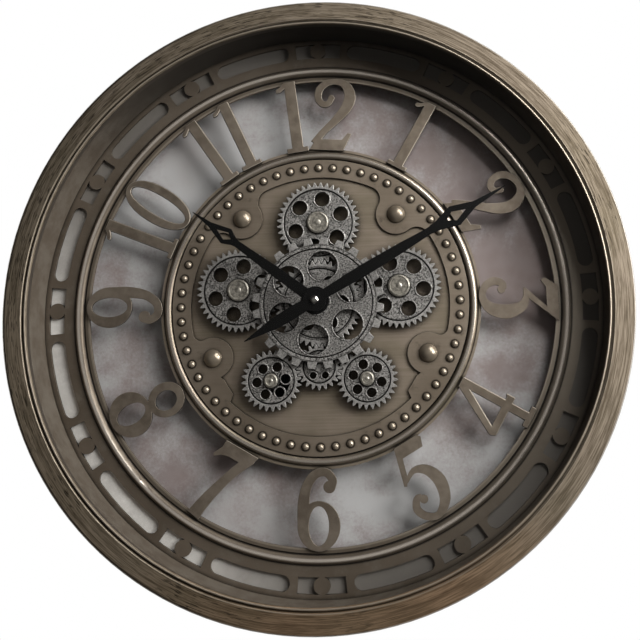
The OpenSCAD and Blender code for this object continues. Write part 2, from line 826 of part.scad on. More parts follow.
module digit_3() {
    polygon([
        [-17.6, 23.4], [-15.6, 19.8], [-12.6, 21.4], [-9.6, 24], [7.5, 24], [-9.6, 5.4], [-9, 4.2],
        [1, 9.6], [19.5, 32.4], [19.5, 34], [-10.6, 34]
    ]);
    stroke([
        [-8.6, 5, 0.7], [0, 6.2, 2.8], [7.5, 1.5, 4.6], [11.4, -11, 6.2], [8, -24.5, 5], [-1, -31.2, 3],
        [-10.5, -29.2, 3.2], [-15.6, -21.4, 3.6], [-13.2, -13.6, 3], [-8.6, -12.6, 2.4]
    ]);
    ball(-8.2, -14.6, 3.4);
}

module digit_4() {
    difference() {
        polygon([
            [-4.8, 34], [4.6, 34], [4.6, -6.4], [7, -6.4], [8, -5], [9.8, -5], [9.8, -13.6],
            [4.6, -13.6], [4.6, -28.6], [10.5, -28.6], [10.5, -34], [-8.5, -34], [-8.5, -28.6],
            [-3.2, -28.6], [-3.2, -13.6], [-26.5, -13.6], [-28.5, -8.5]
        ]);
        polygon([[-3.2, 22], [-3.2, -6.4], [-20.2, -6.4]]);
    }
}

module digit_5() {
    polygon([
        [-17.4, 2.6], [-15, 1.6], [-10.8, 8.5], [-6.6, 23.2], [13.2, 23.2], [16.2, 31.5], [13, 34], [-8.8, 34]
    ]);
    stroke([
        [-14, 4.5, 1.2], [-4, 10, 2.5], [6, 5, 4.2], [11, -8, 5.4], [7, -23, 4.6], [-4, -31.2, 3],
        [-13.8, -27, 3.2], [-17.6, -18.4, 3.4], [-13.6, -11.4, 3], [-9, -11.8, 2.6]
    ]);
    ball(-8.4, -14.2, 3.6);
}

module digit_6() {
    difference() {
        union() {
            oval(-2, -13.8, 18.2, 20.4);
            stroke([
                [-15, -14, 5], [-15, 3, 5], [-12.4, 18, 4.2], [-5, 28.4, 3.8], [4.4, 30, 3.6],
                [10, 23.4, 3.6], [8.8, 17, 3]
            ]);
            ball(7.2, 18, 5.2);
        }
        oval(-2, -13.6, 8.6, 16);
    }
}

module digit_7() {
    polygon([
        [-12.8, 27], [-17.2, 18.8], [-15.4, 16.8], [-10.5, 20.6], [-4, 22.4], [8.5, 22.2], [17, 26.5],
        [19.5, 33.5], [-12.5, 33.5]
    ]);
    stroke([[14.4, 30, 4.4], [6.4, 13, 4], [0.2, -5, 4.4], [-4.2, -22, 5.2], [-6.2, -34, 6]]);
}

module digit_8() {
    difference() {
        union() {
            oval(-3, -15.5, 19.8, 18.6);
            oval(2, 17.5, 15, 16.2);
        }
        oval(-3, -15, 8.4, 13.4);
        oval(2.4, 17, 8.4, 9.8);
    }
}

module digit(d) {
    if (d == 0) digit_0();
    if (d == 1) digit_1();
    if (d == 2) digit_2();
    if (d == 3) digit_3();
    if (d == 4) digit_4();
    if (d == 5) digit_5();
    if (d == 6) digit_6();
    if (d == 7) digit_7();
    if (d == 8) digit_8();
    if (d == 9) rotate(180) digit_6();
}

// One digit on the dial, turned about the hand axis; the lower numerals have their tops inward
module dial_digit(d, turn, inward) {
    rotate(-turn)
        translate([0, numeral_ring])
            rotate(inward ? 180 : 0)
                scale((numeral_gap / 2 + numeral_lap) / 34) digit(d);
}

module numeral(hour) {
    inward = hour > 3 && hour < 9;
    left = hour == 10 ? -7.9 : hour == 11 ? -4.7 : -7.4;
    right = hour == 10 ? 2.7 : hour == 11 ? 4.8 : 4.6;
    color("#6e6656")
        face(dial_front)
            linear_extrude(numeral_t)
                if (hour < 10) dial_digit(hour, hour * 30, inward);
                else {
                    dial_digit(1, hour * 30 + left, false);
                    dial_digit(hour - 10, hour * 30 + right, false);
                }
}

module numeral_1() { numeral(1); }
module numeral_2() { numeral(2); }
module numeral_3() { numeral(3); }
module numeral_4() { numeral(4); }
module numeral_5() { numeral(5); }
module numeral_6() { numeral(6); }
module numeral_7() { numeral(7); }
module numeral_8() { numeral(8); }
module numeral_9() { numeral(9); }
module numeral_10() { numeral(10); }
module numeral_11() { numeral(11); }
module numeral_12() { numeral(12); }

// The gears mesh in one plane; the front gear rides on the sun gear's hub

function unwind(base, r) = let (a = acos(min(1, base / r))) tan(a) * 180 / PI - a;
function tooth_half(m, z, play, r) =
    let (pitch = m * z / 2, base = pitch * cos(pressure_angle))
    90 / z - play * 180 / (PI * m * z) + unwind(base, pitch) - unwind(base, max(r, base));

module gear_outline(m, z, play, phase) {
    pitch = m * z / 2;
    radii = [pitch - 1.25 * m, pitch, pitch + m];
    polygon([for (i = [0 : z - 1], k = [0 : 5])
        let (r = radii[k < 3 ? k : 5 - k], s = k < 3 ? -1 : 1)
        polar(r, phase + i * 360 / z + s * tooth_half(m, z, play, r))]);
}

// Grooved rim, sunk web and lipped holes, cut into the front of a gear
module gear_relief(front, depth, groove, hub, holes, hole_r, hole_ring, start) {
    ring(groove + rim_groove_w / 2, groove - rim_groove_w / 2, front - rim_groove_d, front + 1);
    difference() {
        ring(groove, hub, front - web_sink, front + 1);
        spin(holes, start) at([hole_ring, 0]) post(hole_r + hole_lip_w, front - web_sink - 1, front + 2);
    }
    spin(holes, start) at([hole_ring, 0]) post(hole_r, front - depth - 1, front + 1);
}

module gear_blank(z, phase) {
    translate([0, 0, gear_back]) linear_extrude(gear_t) gear_outline(gear_module, z, tooth_play, phase);
}

module satellite(pos, phase, start) {
    root = gear_module * (satellite_teeth - 2.5) / 2;
    color("#75746f")
        face()
            at(pos)
                difference() {
                    gear_blank(satellite_teeth, phase);
                    gear_relief(gear_front, gear_t, root - 2.5, post_head_r + 1, 6, 6.7, 21.4, start);
                    post(post_pin_r + fit, gear_back - 1, gear_front + 1);
                }
}

module lower_gear(pos, phase, start) {
    root = gear_module * (lower_teeth - 2.5) / 2;
    color("#6c6a64")
        face()
            at(pos)
                difference() {
                    gear_blank(lower_teeth, phase);
                    gear_relief(gear_front, gear_t, root - 2.5, low_head_r + 0.9, 6, 4.2, 12.5, start);
                    post(low_pin_r + fit, gear_back - 1, gear_front + 1);
                }
}

module top_gear() { satellite(top_pos, top_phase, 20); }
module left_gear() { satellite(left_pos, left_phase, 18.5); }
module right_gear() { satellite(right_pos, right_phase, 51.5); }
module lower_left_gear() { lower_gear(low_left_pos, low_left_phase, 6); }
module lower_right_gear() { lower_gear(low_right_pos, low_right_phase, 46); }

module drive_pinion() {
    root = gear_module * (pinion_teeth - 2.5) / 2;
    color("#6c6a64")
        face()
            at(pinion_pos)
                difference() {
                    union() {
                        gear_blank(pinion_teeth, pinion_phase);
                        post(shaft_r + 2.2, gear_back - run_gap, gear_front + 0.6);
                    }
                    gear_relief(gear_front, gear_t, root - 2.3, shaft_r + 2.6, 5, 3, 9, -54);
                    post(shaft_r + fit, gear_back - 1, gear_front + 1);
                }
}

module sun_gear() {
    root = gear_module * (sun_teeth - 2.5) / 2;
    color("#6a6964")
        face()
            difference() {
                union() {
                    difference() {
                        gear_blank(sun_teeth, sun_phase);
                        gear_relief(gear_front, gear_t, root - 4, sun_hub_r + 3, 6, 6.2, 20, 0);
                    }
                    post(sun_hub_r, sun_hub_back, sun_hub_front);
                }
                post(nose_r + fit, sun_hub_back - 1, sun_hub_front + 1);
            }
}

module front_gear_outline() {
    root = front_r - front_tooth_h;
    circle(root);
    spin(front_teeth, 9)
        polygon([
            [root - 2, -4.4], [root, -4.2], [front_r, -3.1],
            [front_r, 3.1], [root, 4.2], [root - 2, 4.4]
        ]);
}

module front_gear() {
    color("#7b7a75")
        face()
            difference() {
                translate([0, 0, front_back]) linear_extrude(front_t) front_gear_outline();
                gear_relief(
                    front_front, front_t, front_r - front_tooth_h - 4, sun_hub_r + 4,
                    6, front_hole_r, front_hole_ring, 22.5
                );
                post(sun_hub_r + fit, front_back - 1, front_front + 1);
            }
}

module sun_clip() {
    color("#a5a5a2") face() ring(nose_r + 2.4, nose_r + fit, clip_back, clip_front);
}

// Shouldered pins hold the idle gears; each has a flat head with a nub in front and a nut behind
module gear_post(pin_r, head_r) {
    head_back = gear_front + run_gap;
    post(post_shank_r, post_end, dial_front);
    post(pin_r + 2, dial_front, gear_back - run_gap);
    post(pin_r, gear_back - run_gap, head_back);
    post(head_r, head_back, head_back + post_head_t);
    dome(head_r * 0.3, post_nub_h, head_back + post_head_t);
}

module gear_posts() {
    color("#7d7c78")
        face() {
            for (p = SATELLITE_POS) at(p) gear_post(post_pin_r, post_head_r);
            for (p = LOWER_POS) at(p) gear_post(low_pin_r, low_head_r);
        }
}

module hex_nut(r, bore, back, front) {
    translate([0, 0, back])
        linear_extrude(front - back)
            difference() {
                circle(r, $fn = 6);
                circle(bore);
            }
}

module post_nuts() {
    color("#9c9b97")
        face()
            for (p = concat(SATELLITE_POS, LOWER_POS))
                at(p) hex_nut(post_nut_r, post_shank_r + fit, plate_back - post_nut_t, plate_back);
}

// A small gear motor behind the plate turns the pinion
motor_ear_t = 2;
shaft_back = plate_back - motor_d + 3;

module gear_motor() {
    ear_r = screw_head_r + 1;
    color("#8d8f90")
        face()
            at(pinion_pos)
                difference() {
                    union() {
                        post(motor_r, plate_back - motor_d, plate_back);
                        translate([0, 0, plate_back - motor_ear_t])
                            linear_extrude(motor_ear_t) {
                                square([2 * motor_screw_x, 2 * ear_r], center = true);
                                for (s = [-1, 1]) translate([s * motor_screw_x, 0]) circle(ear_r);
                            }
                    }
                    post(shaft_r + fit, shaft_back - run_gap, plate_back + 1);
                    for (s = [-1, 1])
                        at([s * motor_screw_x, 0])
                            post(screw_r + fit, plate_back - motor_ear_t - 1, plate_back + 1);
                }
}

module motor_shaft() {
    color("#b5b5b2") face() at(pinion_pos) post(shaft_r, shaft_back, gear_front + 0.6);
}

module motor_screws() {
    color("#9a9a98")
        face()
            for (s = [-1, 1])
                at(pinion_pos + [s * motor_screw_x, 0])
                    rear_screw(plate_back - motor_ear_t, motor_ear_t + plate_t - 0.2);
}

// The hands are flat black blanks with an open diamond near the tip

module blade(half) {
    last = len(half) - 1;
    polygon(concat(
        [for (i = [0 : last]) [half[i][1], half[i][0]]],
        [for (i = [0 : last]) [-half[last - i][1], half[last - i][0]]]
    ));
}

module minute_hand() {
    color("#121212")
        face(minute_back)
            rotate(-minute_rest)
                linear_extrude(hand_t)
                    difference() {
                        union() {
                            circle(10);
                            blade([
                                [-minute_tail, 0.3], [-minute_tail + 13, 2.4], [-38, 5.1], [-20, 5.4],
                                [0, 4.6], [12, 4.2], [50, 5.2], [85, 4.4],
                                [minute_len - 76, 3], [minute_len - 66, 4.4], [minute_len - 50, 9.3],
                                [minute_len - 30, 2.6], [minute_len - 12, 1.3], [minute_len, 0.3]
                            ]);
                        }
                        polygon([
                            [0, minute_len - 58], [4.4, minute_len - 50.5],
                            [0, minute_len - 39], [-4.4, minute_len - 50.5]
                        ]);
                        circle(arbor_r + fit);
                    }
}

module hour_hand() {
    color("#121212")
        face()
            rotate(-hour_rest) {
                translate([0, 0, hour_back])
                    linear_extrude(hand_t)
                        difference() {
                            union() {
                                circle(12);
                                blade([
                                    [0, 5], [15, 4.8], [45, 4.4], [hour_len - 49, 3], [hour_len - 45, 3.8],
                                    [hour_len - 37, 7.6], [hour_len - 19, 2.2], [hour_len, 0.3]
                                ]);
                            }
                            polygon([
                                [0, hour_len - 42], [3.8, hour_len - 36.8],
                                [0, hour_len - 27], [-3.8, hour_len - 36.8]
                            ]);
                            circle(tube_r + fit);
                        }
                ring(tube_r + 2.4, tube_r + fit, hour_back - 4, hour_back);
            }
}

module hand_nut() {
    color("#c9c7c2")
        face()
            difference() {
                union() {
                    post(3.4, minute_front, minute_front + 1.4);
                    dome(3.4, nut_h - 1.4, minute_front + 1.4);
                }
                post(arbor_r + fit, minute_front - 1, minute_front + 1.2);
            }
}

// The quartz movement: a square case clamped by its bush, with motion work inside

module bay_pocket(back, front) {
    translate([-bay_len / 2, -works_half, back]) cube([bay_len, bay_top + works_half, front - back]);
}

module movement_case() {
    half = case_w / 2;
    works_z = bay_top + bay_wall;
    color("#1d1d1d")
        face() {
            difference() {
                union() {
                    translate([-half, -half, cover_front]) cube([case_w, case_w, plate_back - cover_front]);
                    post(bush_r, plate_back - 1, fix_nut_front);
                    post(nose_r, fix_nut_front, nose_front);
                }
                translate([-works_half, works_z, cover_front - 1])
                    cube([2 * works_half, works_half - works_z, case_floor - cover_front + 1]);
                bay_pocket(cover_front - 1, case_floor);
                post(tube_r + fit, case_floor - 1, nose_front + 1);
                at(motion_pos) post(0.8 + fit, case_floor - 1, case_floor + 0.9);
                at(rotor_pos) post(rotor_pivot_r + fit, case_floor - 1, case_floor + 0.9);
            }
            for (p = STATOR_POSTS) at(p) post(1.6, stator_front, case_floor);
        }
}

STATOR_POSTS = [[-(works_half - 3.4), 6], [-5.5, coil_z + 4]];

module movement_cover() {
    half = case_w / 2;
    color("#262626")
        face()
            difference() {
                union() {
                    translate([-half, -half, case_back]) cube([case_w, case_w, cover_t]);
                    post(3, cover_front, cover_front + 1.2);
                }
                bay_pocket(case_back - 1, cover_front + 1);
                at(motion_pos) post(stem_r + fit, case_back - 1, cover_front + 1);
                at(rotor_pos) post(rotor_pivot_r + fit, case_back + 0.6, cover_front + 1);
                post(arbor_r + fit, cover_front - 0.4, cover_front + 3);
            }
}

module fixing_nut() {
    color("#b09a5c") face() hex_nut(bush_r + 3.6, bush_r + fit, dial_front, fix_nut_front);
}

module minute_arbor() {
    color("#b79c55")
        face() {
            post(arbor_r, cover_front - 0.2, minute_front + 1);
            translate([0, 0, minute_wheel_back - 0.3])
                linear_extrude(minute_wheel_t + 0.6)
                    gear_outline(motion_module, cannon_teeth, motion_play, cannon_phase);
        }
}

module hour_tube() {
    color("#c4ab66")
        face()
            difference() {
                union() {
                    post(tube_r, hour_wheel_back, hour_front + 0.6);
                    translate([0, 0, hour_wheel_back])
                        linear_extrude(hour_wheel_t)
                            gear_outline(hour_module, hour_wheel_teeth, motion_play, hour_wheel_phase);
                }
                post(arbor_r + fit, hour_wheel_back - 1, hour_front + 2);
            }
}

module minute_wheel() {
    color("#e3ddca")
        face()
            at(motion_pos) {
                translate([0, 0, minute_wheel_back])
                    linear_extrude(minute_wheel_t)
                        gear_outline(motion_module, minute_wheel_teeth, motion_play, minute_wheel_phase);
                translate([0, 0, minute_wheel_front - 0.1])
                    linear_extrude(hour_wheel_front - minute_wheel_front)
                        gear_outline(hour_module, minute_pinion_teeth, motion_play, minute_pinion_phase);
                post(0.8, hour_wheel_front - 0.3, case_floor + 0.6);
                post(stem_r, knob_front - knob_h + 1.5, minute_wheel_back + 0.1);
            }
}

module setting_knob() {
    color("#2b2b2b")
        face()
            at(motion_pos)
                difference() {
                    post(knob_r, knob_front - knob_h, knob_front);
                    post(stem_r + fit, knob_front - knob_h + 1.3, knob_front + 1);
                    spin(16)
                        at([knob_r + 0.3, 0]) post(0.8, knob_front - knob_h - 1, knob_front + 1, $fn = 16);
                }
}

module stator_plate() {
    left = -works_half + 0.3;
    color("#7f8183")
        face()
            translate([0, 0, stator_front - stator_t])
                linear_extrude(stator_t)
                    difference() {
                        translate([left, 2.5]) square([-3 - left, coil_z + 7 - 2.5]);
                        translate(rotor_pos) circle(rotor_r + 0.5);
                        translate([rotor_pos[0] - 4, rotor_pos[1] + 5]) square([8, 3]);
                    }
}

module drive_coil() {
    axis = stator_front - stator_t - coil_r;
    color("#9a5a2c")
        face()
            translate([rotor_pos[0] - coil_l / 2, coil_z, axis]) {
                rotate([0, 90, 0]) cylinder(r = coil_r - 0.3, h = coil_l);
                for (x = [0, coil_l - 1.2])
                    translate([x, -coil_r, -coil_r]) cube([1.2, 2 * coil_r, 2 * coil_r]);
            }
}

module step_rotor() {
    middle = stator_front - stator_t / 2;
    color("#4a4c50")
        face()
            at(rotor_pos) {
                post(rotor_r, middle - rotor_t / 2, middle + rotor_t / 2);
                post(rotor_pivot_r, case_back + 0.8, case_floor + 0.7, $fn = 32);
            }
}

module circuit_board() {
    color("#2f6b3f")
        face()
            translate([4, works_half - 11, case_floor - 1])
                cube([works_half - 5, 10.5, 1]);
}

// Each cell lies along x with its cap to the right
module cell_body() {
    rotate([0, 90, 0]) {
        cylinder(r = cell_r, h = cell_l);
        cylinder(r = 2.7, h = cell_len);
    }
}

function cell_start() = -bay_len / 2 + contact_t + cell_play / 2;

module clock_cell() {
    color("#3f4a52") face() translate([cell_start(), cell_z, case_floor - cell_r - 0.1]) cell_body();
}

module gear_cells() {
    color("#3f4a52")
        face()
            for (s = [-1, 1])
                translate([box_x + s * cell_pitch, box_z, plate_back - box_wall - cell_r - 0.1])
                    rotate(s * 90) translate([cell_start(), 0, 0]) cell_body();
}

// Spring-steel plates touch both ends of every cell
module contact_pair(back) {
    for (s = [-1, 1])
        translate([s * (bay_len - contact_t) / 2 - contact_t / 2, -contact_half, back])
            cube([contact_t, 2 * contact_half, 2 * contact_half]);
}

module cell_contacts() {
    color("#bdbdb8")
        face() {
            translate([0, cell_z, 0]) contact_pair(case_floor - cell_r - contact_half);
            for (s = [-1, 1])
                translate([box_x + s * cell_pitch, box_z, 0])
                    rotate(90) contact_pair(plate_back - box_wall - cell_r - contact_half);
        }
}

// The gear motor's battery box holds two cells and a slide switch

function switch_z() = box_z + box_len / 2 + switch_block_h / 2;

module battery_box() {
    inner = box_w - 2 * box_wall;
    block_back = plate_back - switch_depth;
    slot_l = switch_w + switch_travel + 2 * run_gap;
    color("#202020")
        face()
            difference() {
                union() {
                    translate([box_x - box_w / 2, box_z - box_len / 2, box_back])
                        cube([box_w, box_len, box_d]);
                    translate([box_x - box_w / 2, box_z + box_len / 2 - 1, block_back])
                        cube([box_w, switch_block_h + 1, switch_depth]);
                }
                translate([box_x - inner / 2, box_z - bay_len / 2, box_back - 1])
                    cube([inner, bay_len, box_d - box_wall + 1]);
                translate([box_x - slot_l / 2, switch_z() - switch_h / 2 - 0.1, block_back - 1])
                    cube([slot_l, switch_h + 0.2, 6]);
            }
}

module switch_slider() {
    block_back = plate_back - switch_depth;
    color("#c8c4ba")
        face()
            translate([box_x - switch_w / 2, switch_z() - switch_h / 2, block_back - 2])
                cube([switch_w, switch_h, 6.8]);
}

frame_ring();
glass_pane();
glass_retainer();
dial_ring();
spacer_ring();
back_panel();
panel_screws_rear();
hanger_plate();
hanger_screws();
centre_plate();
border_plate();
minute_studs();
dome_rivets();
plate_standoffs();
standoff_screws();
numeral_1();
numeral_2();
numeral_3();
numeral_4();
numeral_5();
numeral_6();
numeral_7();
numeral_8();
numeral_9();
numeral_10();
numeral_11();
numeral_12();
sun_gear();
front_gear();
top_gear();
left_gear();
right_gear();
drive_pinion();
lower_left_gear();
lower_right_gear();
gear_posts();
post_nuts();
sun_clip();
gear_motor();
motor_shaft();
motor_screws();
hour_hand();
minute_hand();
hand_nut();
movement_case();
movement_cover();
fixing_nut();
minute_arbor();
hour_tube();
minute_wheel();
setting_knob();
drive_coil();
stator_plate();
step_rotor();
circuit_board();
clock_cell();
cell_contacts();
battery_box();
gear_cells();
switch_slider();
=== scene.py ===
import math

import bmesh
import bpy
from mathutils import Matrix, Vector


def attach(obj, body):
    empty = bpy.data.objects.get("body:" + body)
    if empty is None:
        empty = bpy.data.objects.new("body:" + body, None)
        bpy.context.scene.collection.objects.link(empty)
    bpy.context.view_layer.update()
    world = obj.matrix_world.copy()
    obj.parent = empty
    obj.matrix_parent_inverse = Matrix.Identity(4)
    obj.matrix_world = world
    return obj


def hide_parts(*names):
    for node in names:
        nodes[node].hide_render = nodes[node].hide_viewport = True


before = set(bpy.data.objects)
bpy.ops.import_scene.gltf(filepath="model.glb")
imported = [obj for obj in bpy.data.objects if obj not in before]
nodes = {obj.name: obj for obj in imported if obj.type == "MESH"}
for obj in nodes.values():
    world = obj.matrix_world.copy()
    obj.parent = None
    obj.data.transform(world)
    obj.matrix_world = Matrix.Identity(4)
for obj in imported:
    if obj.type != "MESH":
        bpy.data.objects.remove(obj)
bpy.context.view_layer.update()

# Camera: it stands a little right of the hand axis and below it, tilted up at the dial, and the
# picture is cropped off its optical axis, as in the photograph.
lens = bpy.data.cameras.new("photo_camera")
lens.lens = 42.86
lens.shift_x, lens.shift_y = -0.1134, -0.0817
camera = bpy.data.objects.new("photo_camera", lens)
right = Vector((0.99865, 0.04655, -0.02292))
ahead = Vector((-0.04239, 0.9867, 0.15695))
up = Vector((0.02992, -0.15577, 0.98734))
stand = Matrix.Translation((0.0935, -0.6978, -0.0753))
camera.matrix_world = stand @ Matrix((right, up, -ahead)).transposed().to_4x4()
scene = bpy.context.scene
scene.collection.objects.link(camera)
scene.camera = camera
scene.view_settings.view_transform = "Standard"


# Studio: two soft lamps up on the right throw the frame's shadow over the upper right of the dial.
# Two more behind the clock light its sides and back, and a pale floor lies far below it.
class Wire:
    """A shader socket that can be reckoned with like a number."""

    def __init__(self, tree, socket):
        self.tree, self.socket = tree, socket

    def node(self, kind, settings=None, out=0, **sockets):
        """Any node: its settings come first, then its sockets by name, or by number as i0, i1 and so on."""
        n = self.tree.nodes.new("ShaderNode" + kind)
        for key, value in (settings or {}).items():
            setattr(n, key, value)
        for key, value in sockets.items():
            numbered = key[0] == "i" and key[1:].isdigit()
            plug(self.tree, n.inputs[int(key[1:]) if numbered else key.replace("_", " ")], value)
        return Wire(self.tree, n.outputs[out])

    def maths(self, operation, a, b=0.0):
        return self.node("Math", {"operation": operation}, i0=a, i1=b)

    def __add__(self, other):
        return self.maths("ADD", self, other)

    def __radd__(self, other):
        return self.maths("ADD", other, self)

    def __sub__(self, other):
        return self.maths("SUBTRACT", self, other)

    def __rsub__(self, other):
        return self.maths("SUBTRACT", other, self)

    def __mul__(self, other):
        return self.maths("MULTIPLY", self, other)

    def __rmul__(self, other):
        return self.maths("MULTIPLY", other, self)

    def __truediv__(self, other):
        return self.maths("DIVIDE", self, other)

    def __rtruediv__(self, other):
        return self.maths("DIVIDE", other, self)

    def __pow__(self, other):
        return self.maths("POWER", self, other)

    def __rpow__(self, other):
        return self.maths("POWER", other, self)

    def __abs__(self):
        return self.maths("ABSOLUTE", self)

    def between(self, low, high):
        """0 below low, 1 above high and smooth in between; high may be the lower of the two."""
        return self.node("MapRange", {"interpolation_type": "SMOOTHSTEP"}, Value=self, From_Min=low, From_Max=high)

    def near(self, middle, reach):
        """1 at middle, falling to 0 at the given reach on both sides."""
        return abs(self - middle).between(reach, 0.0)

    def mix(self, a, b):
        """Colour a where this is 0 and colour b where it is 1."""
        return self.node("Mix", {"data_type": "RGBA", "clamp_factor": True}, 2, i0=self, i6=a, i7=b)


def plug(tree, socket, value):
    """Links a wire to a socket, or sets the socket to a plain value."""
    if isinstance(value, Wire):
        tree.links.new(value.socket, socket)
    elif socket.type == "RGBA" and len(value) == 3:
        socket.default_value = (*value, 1.0)
    else:
        socket.default_value = value


def lamp(name, place, target, size, power, tint):
    data = bpy.data.lights.new(name, "AREA")
    data.shape, data.size, data.energy, data.color = "DISK", size, power, tint
    obj = bpy.data.objects.new(name, data)
    obj.location = place
    obj.rotation_euler = (Vector(target) - Vector(place)).to_track_quat("-Z", "Y").to_euler()
    scene.collection.objects.link(obj)


white, warm_white = (1.0, 1.0, 1.0), (1.0, 0.985, 0.965)
rear_middle, dial_middle = (0.0, 0.0, 0.0), (0.0, -0.04, 0.0)
lamp("key_lamp", (1.68, -0.91, 0.32), dial_middle, 0.85, 43.5, warm_white)
lamp("upper_lamp", (0.78, -0.79, 0.75), dial_middle, 0.9, 21.0, warm_white)
lamp("back_lamp", (0.7, 1.6, 0.9), rear_middle, 1.2, 20.0, white)
lamp("side_lamp", (-1.6, 0.45, 0.2), rear_middle, 1.0, 9.0, white)

world = bpy.data.worlds.new("studio")
world.use_nodes = True
scene.world = world
sky = Wire(world.node_tree, None)
toward = sky.node("SeparateXYZ", out="Y", Vector=sky.node("TexCoord", out="Generated"))
glow = toward.between(-0.55, -0.95).mix((0.012, 0.011, 0.010), (0.20, 0.19, 0.18))
mirrored = toward.between(-0.15, 0.3).mix(glow, white)
room = sky.node("LightPath", out="Is Glossy Ray").mix(glow, mirrored)
room = sky.node("LightPath", out="Is Transmission Ray").mix(room, white)
room = sky.node("LightPath", out="Is Camera Ray").mix(room, white)
plug(world.node_tree, world.node_tree.nodes["Background"].inputs["Color"], room)


def material(name, roughness=0.5, metallic=0.0):
    """A new material with its principled node, and the place on the piece as a wire in metres."""
    mat = bpy.data.materials.new(name)
    mat.use_nodes = True
    tree = mat.node_tree
    shader = tree.nodes["Principled BSDF"]
    shader.inputs["Roughness"].default_value = roughness
    shader.inputs["Metallic"].default_value = metallic
    place = Wire(tree, None).node("TexCoord", out="Object")
    return mat, shader, place


def parts_of(place):
    """The x, y and z of a place."""
    split = place.node("SeparateXYZ", Vector=place)
    return [Wire(place.tree, out) for out in split.socket.node.outputs]


def noise(place, scale, detail=3.0, rough=0.55):
    return place.node("TexNoise", Vector=place, Scale=scale, Detail=detail, Roughness=rough)


def spread(a, b):
    """How far the point a, b lies from the origin."""
    return (a * a + b * b) ** 0.5


def feed(shader, wire, socket="Base Color"):
    plug(wire.tree, shader.inputs[socket], wire)


half, level = 1.2, -1.6
floor_mesh = bpy.data.meshes.new("studio_floor")
corners = [(-half, -half, level), (half, -half, level), (half, half, level), (-half, half, level)]
floor_mesh.from_pydata(corners, [], [(0, 1, 2, 3)])
floor = bpy.data.objects.new("studio_floor", floor_mesh)
scene.collection.objects.link(floor)
mat, shader, place = material("floor_paper", 0.8)
feed(shader, noise(place, 3.0).mix((0.80, 0.80, 0.79), (0.84, 0.84, 0.83)))
x, y, _ = parts_of(place)
feed(shader, spread(x, y).between(1.18, 0.2), "Alpha")
floor_mesh.materials.append(mat)


# Frame: one hollow plastic moulding painted antique bronze. Its sloping band is brushed round and
# round, so fine streaks and a few dark dashes follow the ring. Painted light makes the band paler at
# the lower left and warmer brown at the bottom, and the bead and shoulder inside the band are painted
# pale as highlights. Painted shade darkens the groove, the top of the inner wall and the left outer
# edge, and the outer rim is painted pale as a reflection.
def vector(x, y, z):
    return x.node("CombineXYZ", X=x, Y=y, Z=z)


def bump(shader, height, strength, distance):
    wire = height.node("Bump", Strength=strength, Distance=distance, Height=height)
    feed(shader, wire, "Normal")


def dress(mat, *names):
    for name in names:
        nodes[name].data.materials.clear()
        nodes[name].data.materials.append(mat)


def brushed_round(around, over, detail, rough):
    """Noise that is drawn out round the ring and fine over the band."""
    return noise(vector(across * around, along * around, lay * over), 1.0, detail, rough)


mat, shader, place = material("frame_bronze", 0.75, 0.84)
x, y, z = parts_of(place)
radius = spread(x, z)
across, along = x / radius, z / radius
lay = radius - y
front = y.between(-0.0685, -0.0700)
outside = radius.between(0.2625, 0.2632)
skin = front.maths("MAXIMUM", front, outside * 0.9)
lip = y.between(-0.0728, -0.0738)
bead = radius.near(0.2434, 0.0011) * lip
groove = radius.near(0.2454, 0.0012) * lip
shoulder = radius.near(0.2470, 0.0008) * lip
outer_line = radius.near(0.2629, 0.0014) * across.between(0.0, -0.6)
outer_rim = radius.between(0.2634, 0.2640)

streak = brushed_round(9.0, 1500.0, 3.0, 0.7) * 0.68 + brushed_round(4.0, 520.0, 3.0, 0.6) * 0.32
zone = noise(place, 7.0, 2.0)
dash = brushed_round(24.0, 1300.0, 2.0, 0.5).between(0.56, 0.64)
dash = dash * (zone + (along - across) * 0.05).between(0.42, 0.56)
brushed = streak.between(0.39, 0.61)
bronze = brushed.mix((0.078, 0.060, 0.040), (0.236, 0.197, 0.152))
# Painted light: paler colours for the lower left of the band and warmer brown ones for its bottom.
lower_left_light = brushed.mix((0.145, 0.114, 0.077), (0.350, 0.290, 0.218))
bottom_warm_light = brushed.mix((0.122, 0.073, 0.038), (0.296, 0.188, 0.107))
low_left = (across * -0.77 - along * 0.64).between(0.35, 0.9) * radius.between(0.2470, 0.2480)
bottom = (across * 0.12 - along).between(0.72, 1.0)
paint = (bottom * 0.7).mix(low_left.mix(bronze, lower_left_light), bottom_warm_light)
paint = (zone.between(0.40, 0.65) * 0.3).mix(paint, (0.148, 0.126, 0.080))
wear = noise(place, 55.0, 5.0, 0.65)
wall = wear.between(0.35, 0.68).mix((0.098, 0.076, 0.056), (0.140, 0.118, 0.094))
# Painted shade: the inner wall goes nearly black toward the top.
wall = (along.between(0.45, 0.92) * 0.82).mix(wall, (0.010, 0.008, 0.006))
paint = skin.mix(wall, paint)
paint = (dash * front * 0.85).mix(paint, (0.022, 0.016, 0.010))
# Painted shade in the groove and on the left outer edge, painted highlights on the bead and shoulder, and a painted
# reflection on the outer rim.
paint = (groove * 0.95).mix(paint, (0.010, 0.008, 0.005))
paint = (bead * 0.8).mix(paint, (0.46, 0.40, 0.325))
paint = (shoulder * 0.6).mix(paint, (0.40, 0.345, 0.275))
paint = (outer_line * 0.9).mix(paint, (0.014, 0.010, 0.007))
paint = (outer_rim * front * 0.7).mix(paint, (0.46, 0.44, 0.41))
feed(shader, paint)
feed(shader, 0.64 + streak * 0.2 - (bead + shoulder + outer_rim * 0.6) * 0.35, "Roughness")
feed(shader, 0.15 + skin * 0.69, "Metallic")
bump(shader, streak - dash * 0.5, 0.3, 0.0003)
dress(mat, "frame_ring")


